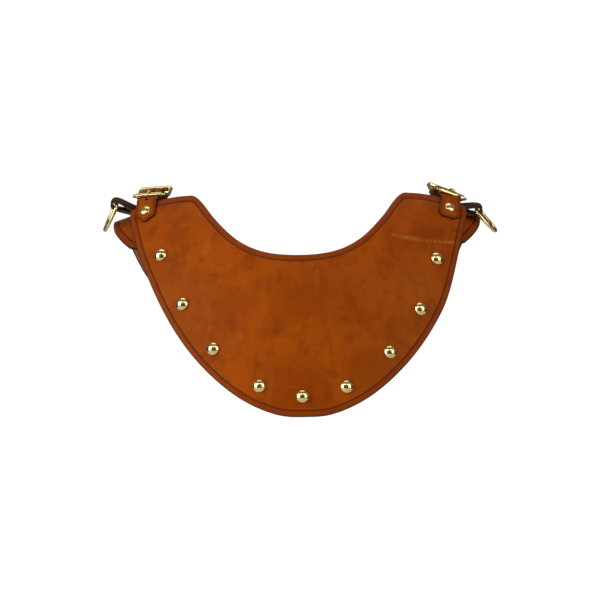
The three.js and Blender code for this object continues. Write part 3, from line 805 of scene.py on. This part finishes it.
class Nodes:
    """Short ways to add and link shader nodes in one material."""

    def __init__(self, name):
        self.material = bpy.data.materials.new(name)
        self.material.use_nodes = True
        self.tree = self.material.node_tree
        self.shader = self.tree.nodes["Principled BSDF"]
        self.place = self.add("ShaderNodeTexCoord").outputs["Object"]

    def add(self, kind, **settings):
        node = self.tree.nodes.new(kind)
        for key, value in settings.items():
            setattr(node, key, value)
        return node

    def feed(self, socket, value):
        if isinstance(value, bpy.types.NodeSocket):
            self.tree.links.new(value, socket)
        else:
            socket.default_value = value

    def layer(self, name):
        return self.add("ShaderNodeAttribute", attribute_name=name).outputs["Fac"]

    def math(self, operation, a, b=0.0, clamp=False):
        node = self.add("ShaderNodeMath", operation=operation, use_clamp=clamp)
        self.feed(node.inputs[0], a)
        self.feed(node.inputs[1], b)
        return node.outputs[0]

    def ramp(self, value, low, high, start=0.0, end=1.0):
        """Smoothly takes start at low to end at high."""
        node = self.add("ShaderNodeMapRange", interpolation_type="SMOOTHSTEP")
        for socket, number in zip(node.inputs, (value, low, high, start, end)):
            self.feed(socket, number)
        return node.outputs[0]

    def stretched(self, scale, turn=(0, 0, 0)):
        node = self.add("ShaderNodeMapping")
        self.feed(node.inputs["Vector"], self.place)
        node.inputs["Rotation"].default_value = [math.radians(a) for a in turn]
        node.inputs["Scale"].default_value = scale
        return node.outputs[0]

    def noise(self, size, detail=3.0, rough=0.55, twist=0.0, place=None):
        """Noise whose blotches are about size millimetres across."""
        node = self.add("ShaderNodeTexNoise")
        self.feed(node.inputs["Vector"], place or self.place)
        for key, value in (("Scale", 1000 / size), ("Detail", detail), ("Roughness", rough),
                           ("Distortion", twist)):
            node.inputs[key].default_value = value
        return node.outputs[0]

    def cells(self, size):
        node = self.add("ShaderNodeTexVoronoi")
        self.feed(node.inputs["Vector"], self.place)
        node.inputs["Scale"].default_value = 1000 / size
        return node.outputs["Distance"]

    def mix(self, share, a, b, kind="MIX"):
        node = self.add("ShaderNodeMix", data_type="RGBA", blend_type=kind)
        for socket, value in ((node.inputs[0], share), (node.inputs[6], a), (node.inputs[7], b)):
            self.feed(socket, value)
        return node.outputs[2]

    def bump(self, height, depth, below=None):
        """Relief of a height from 0 to 1, depth millimetres deep, on top of another relief."""
        node = self.add("ShaderNodeBump")
        node.inputs["Distance"].default_value = depth * MM
        self.feed(node.inputs["Height"], height)
        if below:
            self.feed(node.inputs["Normal"], below)
        return node.outputs[0]


TAN_BRIGHT = (0.370, 0.066, 0.0020, 1)
TAN = (0.290, 0.048, 0.0016, 1)
TAN_DEEP = (0.185, 0.028, 0.0020, 1)
TAN_RED = (0.200, 0.030, 0.0050, 1)
EDGE_DARK = (0.030, 0.010, 0.005, 1)
CREASE_DARK = (0.075, 0.014, 0.003, 1)
GLOSS_TINT = (1.0, 0.50, 0.16, 1)
FLESH = (0.330, 0.170, 0.085, 1)
FLESH_DARK = (0.220, 0.105, 0.048, 1)
WORN = (0.520, 0.150, 0.030, 1)
TAB_BROWN = (0.075, 0.026, 0.012, 1)
TAB_DEEP = (0.030, 0.012, 0.007, 1)
TAB_SCUFF = (0.160, 0.060, 0.028, 1)
TAB_EDGE = (0.018, 0.008, 0.005, 1)
TAB_FLESH = (0.110, 0.055, 0.030, 1)
BRASS_PALE = (0.90, 0.72, 0.33, 1)
BRASS_TONED = (0.80, 0.58, 0.22, 1)


def leather(name, border, edge_width, crease, colours, plate=False):
    """Vegetable-tanned leather dyed by hand: mottled, with a dark edge and a creased border."""
    n = Nodes(name)
    bright, middle, deep = colours
    edge, flesh = n.layer("edge"), n.layer("flesh")
    blotches = n.noise(52, 3, 0.5, 0.6)
    mottle = n.noise(13, 4, 0.6, 0.3)
    fibres = n.noise(9, 5, 0.65, 0.4, n.stretched((1, 1, 0.28), (0, 24, 0)))
    colour = n.mix(n.ramp(blotches, 0.36, 0.64), bright, middle)
    colour = n.mix(n.ramp(mottle, 0.46, 0.72, 0.0, 0.55), colour, deep)
    colour = n.mix(n.ramp(fibres, 0.50, 0.70, 0.0, 0.32), colour, middle)
    if plate:
        colour = plate_marks(n, colour)
    outside = n.ramp(edge, border - 0.8, border + 0.8, 0.62, 0.0)
    colour = n.mix(outside, colour, TAN_RED)
    near_border = n.ramp(n.math("ABSOLUTE", n.math("SUBTRACT", edge, border)), 0.25, 1.15, 1.0, 0.0)
    colour = n.mix(n.math("MULTIPLY", near_border, crease), colour, CREASE_DARK)
    dye = n.ramp(n.math("ADD", edge, n.math("MULTIPLY", mottle, edge_width)),
                 edge_width * 0.7, edge_width * 2.0, 1.0, 0.0)
    colour = n.mix(dye, colour, EDGE_DARK)
    nap = n.noise(0.9, 4, 0.7)
    rough_side = n.mix(n.ramp(n.noise(20, 4), 0.35, 0.68), FLESH, FLESH_DARK)
    rough_side = n.mix(n.ramp(nap, 0.45, 0.75, 0.0, 0.5), rough_side, FLESH_DARK)
    rough_side = n.mix(dye, rough_side, EDGE_DARK)
    inside = n.ramp(flesh, 0.4, 0.6)
    n.feed(n.shader.inputs["Base Color"], n.mix(inside, colour, rough_side))
    gloss = n.ramp(n.noise(7, 4, 0.6), 0.3, 0.7, 0.34, 0.50)
    gloss = n.math("ADD", gloss, n.math("MULTIPLY", inside, 0.42), True)
    n.feed(n.shader.inputs["Roughness"], gloss)
    n.shader.inputs["Specular IOR Level"].default_value = 0.18
    n.shader.inputs["Specular Tint"].default_value = GLOSS_TINT
    groove = n.bump(n.ramp(n.math("ABSOLUTE", n.math("SUBTRACT", edge, border)), 0.1, 0.85), 0.45)
    swell = n.bump(n.noise(30, 2, 0.5), 0.9, groove)
    pores = n.bump(n.ramp(n.cells(0.75), 0.0, 0.55), 0.035, swell)
    grain = n.bump(n.noise(0.55, 3, 0.6), 0.05, pores)
    fuzz = n.bump(n.math("MULTIPLY", nap, inside), 0.25, grain)
    n.feed(n.shader.inputs["Normal"], fuzz)
    return n.material


def plate_marks(n, colour):
    """Growth marks, scratches and the worn flex line of the big plates."""
    for turn in (28, -28):
        marks = n.noise(15, 4, 0.6, 0.5, n.stretched((1, 1, 0.16), (0, turn, 0)))
        colour = n.mix(n.ramp(marks, 0.56, 0.74, 0.0, 0.34), colour, TAN_DEEP)
        pale = n.noise(22, 3, 0.6, 0.4, n.stretched((1, 1, 0.2), (0, turn, 0)))
        colour = n.mix(n.ramp(pale, 0.60, 0.78, 0.0, 0.22), colour, WORN)
    scratches = n.noise(1.6, 2, 0.5, 0.2, n.stretched((0.06, 0.3, 1), (0, -32, 0)))
    colour = n.mix(n.ramp(scratches, 0.70, 0.78, 0.0, 0.30), colour, WORN)
    wander = n.math("MULTIPLY", n.math("SUBTRACT", n.noise(14, 3), 0.5), 4.0)
    flex = n.math("ABSOLUTE", n.math("ADD", n.layer("flex"), wander))
    broken = n.ramp(n.noise(6, 3), 0.2, 0.5, 0.4, 1.0)
    worn = n.math("MULTIPLY", n.ramp(flex, 0.2, 2.2, 0.60, 0.0), broken)
    return n.mix(worn, colour, WORN)


def dark_leather(name):
    """The chocolate-brown leather of the ring tabs."""
    n = Nodes(name)
    edge, flesh = n.layer("edge"), n.layer("flesh")
    mottle = n.noise(6, 4, 0.6, 0.3)
    colour = n.mix(n.ramp(mottle, 0.35, 0.65), TAB_BROWN, TAB_DEEP)
    colour = n.mix(n.ramp(n.noise(1.4, 4, 0.7), 0.55, 0.8, 0.0, 0.4), colour, TAB_SCUFF)
    colour = n.mix(n.ramp(edge, 0.2, 1.2, 0.8, 0.0), colour, TAB_EDGE)
    inside = n.ramp(flesh, 0.4, 0.6)
    colour = n.mix(inside, colour, TAB_FLESH)
    n.feed(n.shader.inputs["Base Color"], colour)
    n.feed(n.shader.inputs["Roughness"], n.math("ADD", n.ramp(mottle, 0.3, 0.7, 0.42, 0.6),
                                                n.math("MULTIPLY", inside, 0.3), True))
    n.shader.inputs["Specular IOR Level"].default_value = 0.25
    n.shader.inputs["Specular Tint"].default_value = GLOSS_TINT
    crease = n.math("ABSOLUTE", n.math("SUBTRACT", edge, STRAP_BORDER))
    groove = n.bump(n.ramp(crease, 0.05, 0.5), 0.25)
    grain = n.bump(n.noise(0.5, 4, 0.65), 0.07, n.bump(n.cells(0.9), 0.05, groove))
    n.feed(n.shader.inputs["Normal"], grain)
    return n.material


def brass(name, rough_low, rough_high):
    """Polished brass: slight toning, smudges and hairline scratches."""
    n = Nodes(name)
    toning = n.ramp(n.noise(5, 4, 0.6), 0.35, 0.7)
    colour = n.mix(toning, BRASS_PALE, BRASS_TONED)
    n.feed(n.shader.inputs["Base Color"], colour)
    n.shader.inputs["Metallic"].default_value = 1.0
    smudges = n.ramp(n.noise(2.2, 4, 0.65), 0.35, 0.7, rough_low, rough_high)
    n.feed(n.shader.inputs["Roughness"], smudges)
    hairlines = n.noise(0.35, 2, 0.5, 0.0, n.stretched((1, 0.12, 1), (20, 0, 35)))
    n.feed(n.shader.inputs["Normal"], n.bump(hairlines, 0.006, n.bump(n.noise(3, 2), 0.05)))
    return n.material


def coated(item, material):
    item.data.materials.clear()
    item.data.materials.append(material)
    for face in item.data.polygons:
        face.material_index = 0
    return item

# ------------------------------------------------------------------ studio

CAMERA_DISTANCE = 10.0
FRAME_WIDTH = 0.540              # metres across the picture at the breastplate
SENSOR = 36.0
AIM = Vector((0.0004, -0.060, -0.0945))
CAMERA_ROLL = math.radians(-0.8)
CLIP_END = 40
FLOOR_Z = -0.55
FLOOR_RADIUS = 1.15
FLOOR_GLOW = 0.5                 # seen by the camera alone, to keep the floor pale
PAPER = ((0.86, 0.86, 0.85, 1), (0.90, 0.90, 0.89, 1))

# Name, place in metres, size and power of each light.
LIGHTS = (
    ("key", (-1.45, -1.05, 0.20), (1.2, 1.6), 22),
    ("fill", (1.35, -1.15, 0.20), (1.1, 1.5), 10),
    ("top", (0.0, 0.1, 1.5), (1.2, 0.8), 3.5),
    ("strip_right", (-0.62, -1.35, 0.95), (0.95, 0.30), 3.0),
    ("strip_left", (0.62, -1.35, 0.95), (0.95, 0.30), 2.4),
)


def camera():
    data = bpy.data.cameras.new("camera")
    data.sensor_width = SENSOR
    data.lens = SENSOR * CAMERA_DISTANCE / FRAME_WIDTH
    data.clip_end = CLIP_END
    item = bpy.data.objects.new("camera", data)
    item.location = AIM + Vector((0, -CAMERA_DISTANCE, 0))
    item.rotation_euler = (Matrix.Rotation(math.pi / 2, 3, "X")
                           @ Matrix.Rotation(CAMERA_ROLL, 3, "Z")).to_euler()
    bpy.context.scene.collection.objects.link(item)
    bpy.context.scene.camera = item


def softbox(name, place, size, power):
    data = bpy.data.lights.new(name, "AREA")
    data.shape = "RECTANGLE"
    data.size, data.size_y = size
    data.energy = power
    item = bpy.data.objects.new(name, data)
    item.location = place
    item.rotation_euler = (AIM - Vector(place)).to_track_quat("-Z", "Y").to_euler()
    bpy.context.scene.collection.objects.link(item)


def world():
    """White to the camera; to the object, a dark studio, a little lighter above."""
    scene = bpy.context.scene
    scene.world = bpy.data.worlds.new("studio")
    scene.world.use_nodes = True
    tree = scene.world.node_tree
    output = tree.nodes["World Output"]
    backdrop = tree.nodes["Background"]
    backdrop.inputs["Color"].default_value = (1, 1, 1, 1)
    backdrop.inputs["Strength"].default_value = 1.05
    room = tree.nodes.new("ShaderNodeBackground")
    split = tree.nodes.new("ShaderNodeSeparateXYZ")
    tree.links.new(tree.nodes.new("ShaderNodeTexCoord").outputs["Generated"], split.inputs[0])
    height = tree.nodes.new("ShaderNodeValToRGB")
    stops = ((0.0, 0.03), (0.44, 0.05), (0.62, 0.12), (1.0, 0.22))
    for k, (at, grey) in enumerate(stops):
        stop = height.color_ramp.elements[k] if k < 2 else height.color_ramp.elements.new(at)
        stop.position = at
        stop.color = (grey, grey, grey, 1)
    upward = tree.nodes.new("ShaderNodeMapRange")
    upward.inputs["From Min"].default_value = -1
    tree.links.new(split.outputs["Z"], upward.inputs["Value"])
    tree.links.new(upward.outputs[0], height.inputs[0])
    tree.links.new(height.outputs[0], room.inputs["Color"])
    seen = tree.nodes.new("ShaderNodeLightPath")
    either = tree.nodes.new("ShaderNodeMixShader")
    tree.links.new(seen.outputs["Is Camera Ray"], either.inputs[0])
    tree.links.new(room.outputs[0], either.inputs[1])
    tree.links.new(backdrop.outputs[0], either.inputs[2])
    tree.links.new(either.outputs[0], output.inputs["Surface"])


def floor():
    form = bmesh.new()
    bmesh.ops.create_circle(form, cap_ends=True, radius=FLOOR_RADIUS, segments=96)
    mesh = bpy.data.meshes.new("floor")
    form.to_mesh(mesh)
    form.free()
    item = bpy.data.objects.new("floor", mesh)
    item.location = (0, 0, FLOOR_Z)
    bpy.context.scene.collection.objects.link(item)
    n = Nodes("floor_paper")
    n.feed(n.shader.inputs["Base Color"], n.mix(n.noise(400), *PAPER))
    n.shader.inputs["Roughness"].default_value = 0.9
    n.shader.inputs["Emission Color"].default_value = (1, 1, 1, 1)
    seen = n.add("ShaderNodeLightPath").outputs["Is Camera Ray"]
    n.feed(n.shader.inputs["Emission Strength"], n.math("MULTIPLY", seen, FLOOR_GLOW))
    mesh.materials.append(n.material)


# ------------------------------------------------------------------ assembly

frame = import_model()

bpy.context.scene.view_settings.view_transform = "Standard"
camera()
world()
floor()
for light in LIGHTS:
    softbox(*light)

TAN_LEATHER = (TAN_BRIGHT, TAN, TAN_DEEP)
PLATE_LEATHER = leather("plate_leather", BORDER_INSET, 0.75, 0.72, TAN_LEATHER, plate=True)
STRAP_LEATHER = leather("strap_leather", STRAP_BORDER, 0.45, 0.35, TAN_LEATHER)
# Painted shade: the chape is the straps' leather coloured darker all over, deep tan mottled towards
# near-black, for the shade it lies in inside the buckle.
CHAPE_SHADED_LEATHER = leather("chape_leather_painted_shade", STRAP_BORDER, 0.45, 0.35, (TAN_DEEP, TAN_DEEP, EDGE_DARK))
TAB_LEATHER = dark_leather("tab_leather")
DOME_BRASS = brass("dome_brass", 0.07, 0.16)
FITTING_BRASS = brass("fitting_brass", 0.12, 0.26)


def finished(item, material, slot, body, *nodes):
    """A piece with its finish, riding on its body in place of its CAD nodes."""
    coated(item, material)
    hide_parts(*nodes)
    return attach(item, body)


finished(plate_object("breastplate_leather", PLATES["front"]), PLATE_LEATHER, "plate_leather",
         "front", "breastplate")
finished(plate_object("back_plate_leather", PLATES["back"]), PLATE_LEATHER, "plate_leather",
         "back", "back_plate")

for face, outward in (("front", (0, -1, 0.3)), ("back", (0, 1, 0.6))):
    for k in range(1, 10):
        node = f"{face}_dome_rivet_{k}"
        dome = rivet(f"{face}_dome_{k}", node, outward, DOME_HEAD, DOME_WALL)
        finished(dome, DOME_BRASS, "brass_domes", face, node)

for name, side in SIDES.items():
    group = buckle_frame(side)
    strap = strap_object(f"{name}_strap", side, group)
    coated(strap, STRAP_LEATHER)
    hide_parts(f"{name}_strap_foot", f"{name}_strap_tongue")
    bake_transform(strap)

    rivet_x = (group @ Vector((0, BUCKLE["rear_bar"] + CHAPE_REACH, 0))).x
    finished(chape_object(f"{name}_buckle_chape", group, rivet_x), CHAPE_SHADED_LEATHER,
             "strap_leather", "back", f"{name}_chape")
    finished(tab_object(f"{name}_tab", side), TAB_LEATHER, "dark_leather", "back", f"{name}_ring_tab")
    for piece, body, outward in (("strap", "front", (0, -1, 0.3)), ("chape", "back", (0, 0.3, 1)),
                                 ("tab", "back", (0, 0, 1))):
        finished(rivet(f"{name}_{piece}_cap", f"{name}_{piece}_rivet", outward, CAP_HEAD, CAP_WALL),
                 FITTING_BRASS, "brass_fittings", body, f"{name}_{piece}_rivet")
    finished(buckle_casting(f"{name}_buckle", group), FITTING_BRASS, "brass_fittings",
             f"{name}_frame", f"{name}_buckle_frame")
    finished(roller_tube(f"{name}_roller_tube", group), FITTING_BRASS, "brass_fittings",
             f"{name}_roll", f"{name}_roller")
    finished(prong_bar(f"{name}_buckle_prong", group), FITTING_BRASS, "brass_fittings",
             f"{name}_pin", f"{name}_prong")
    finished(ring_wire(f"{name}_ring", side), FITTING_BRASS, "brass_fittings",
             f"{name}_dee", f"{name}_d_ring")
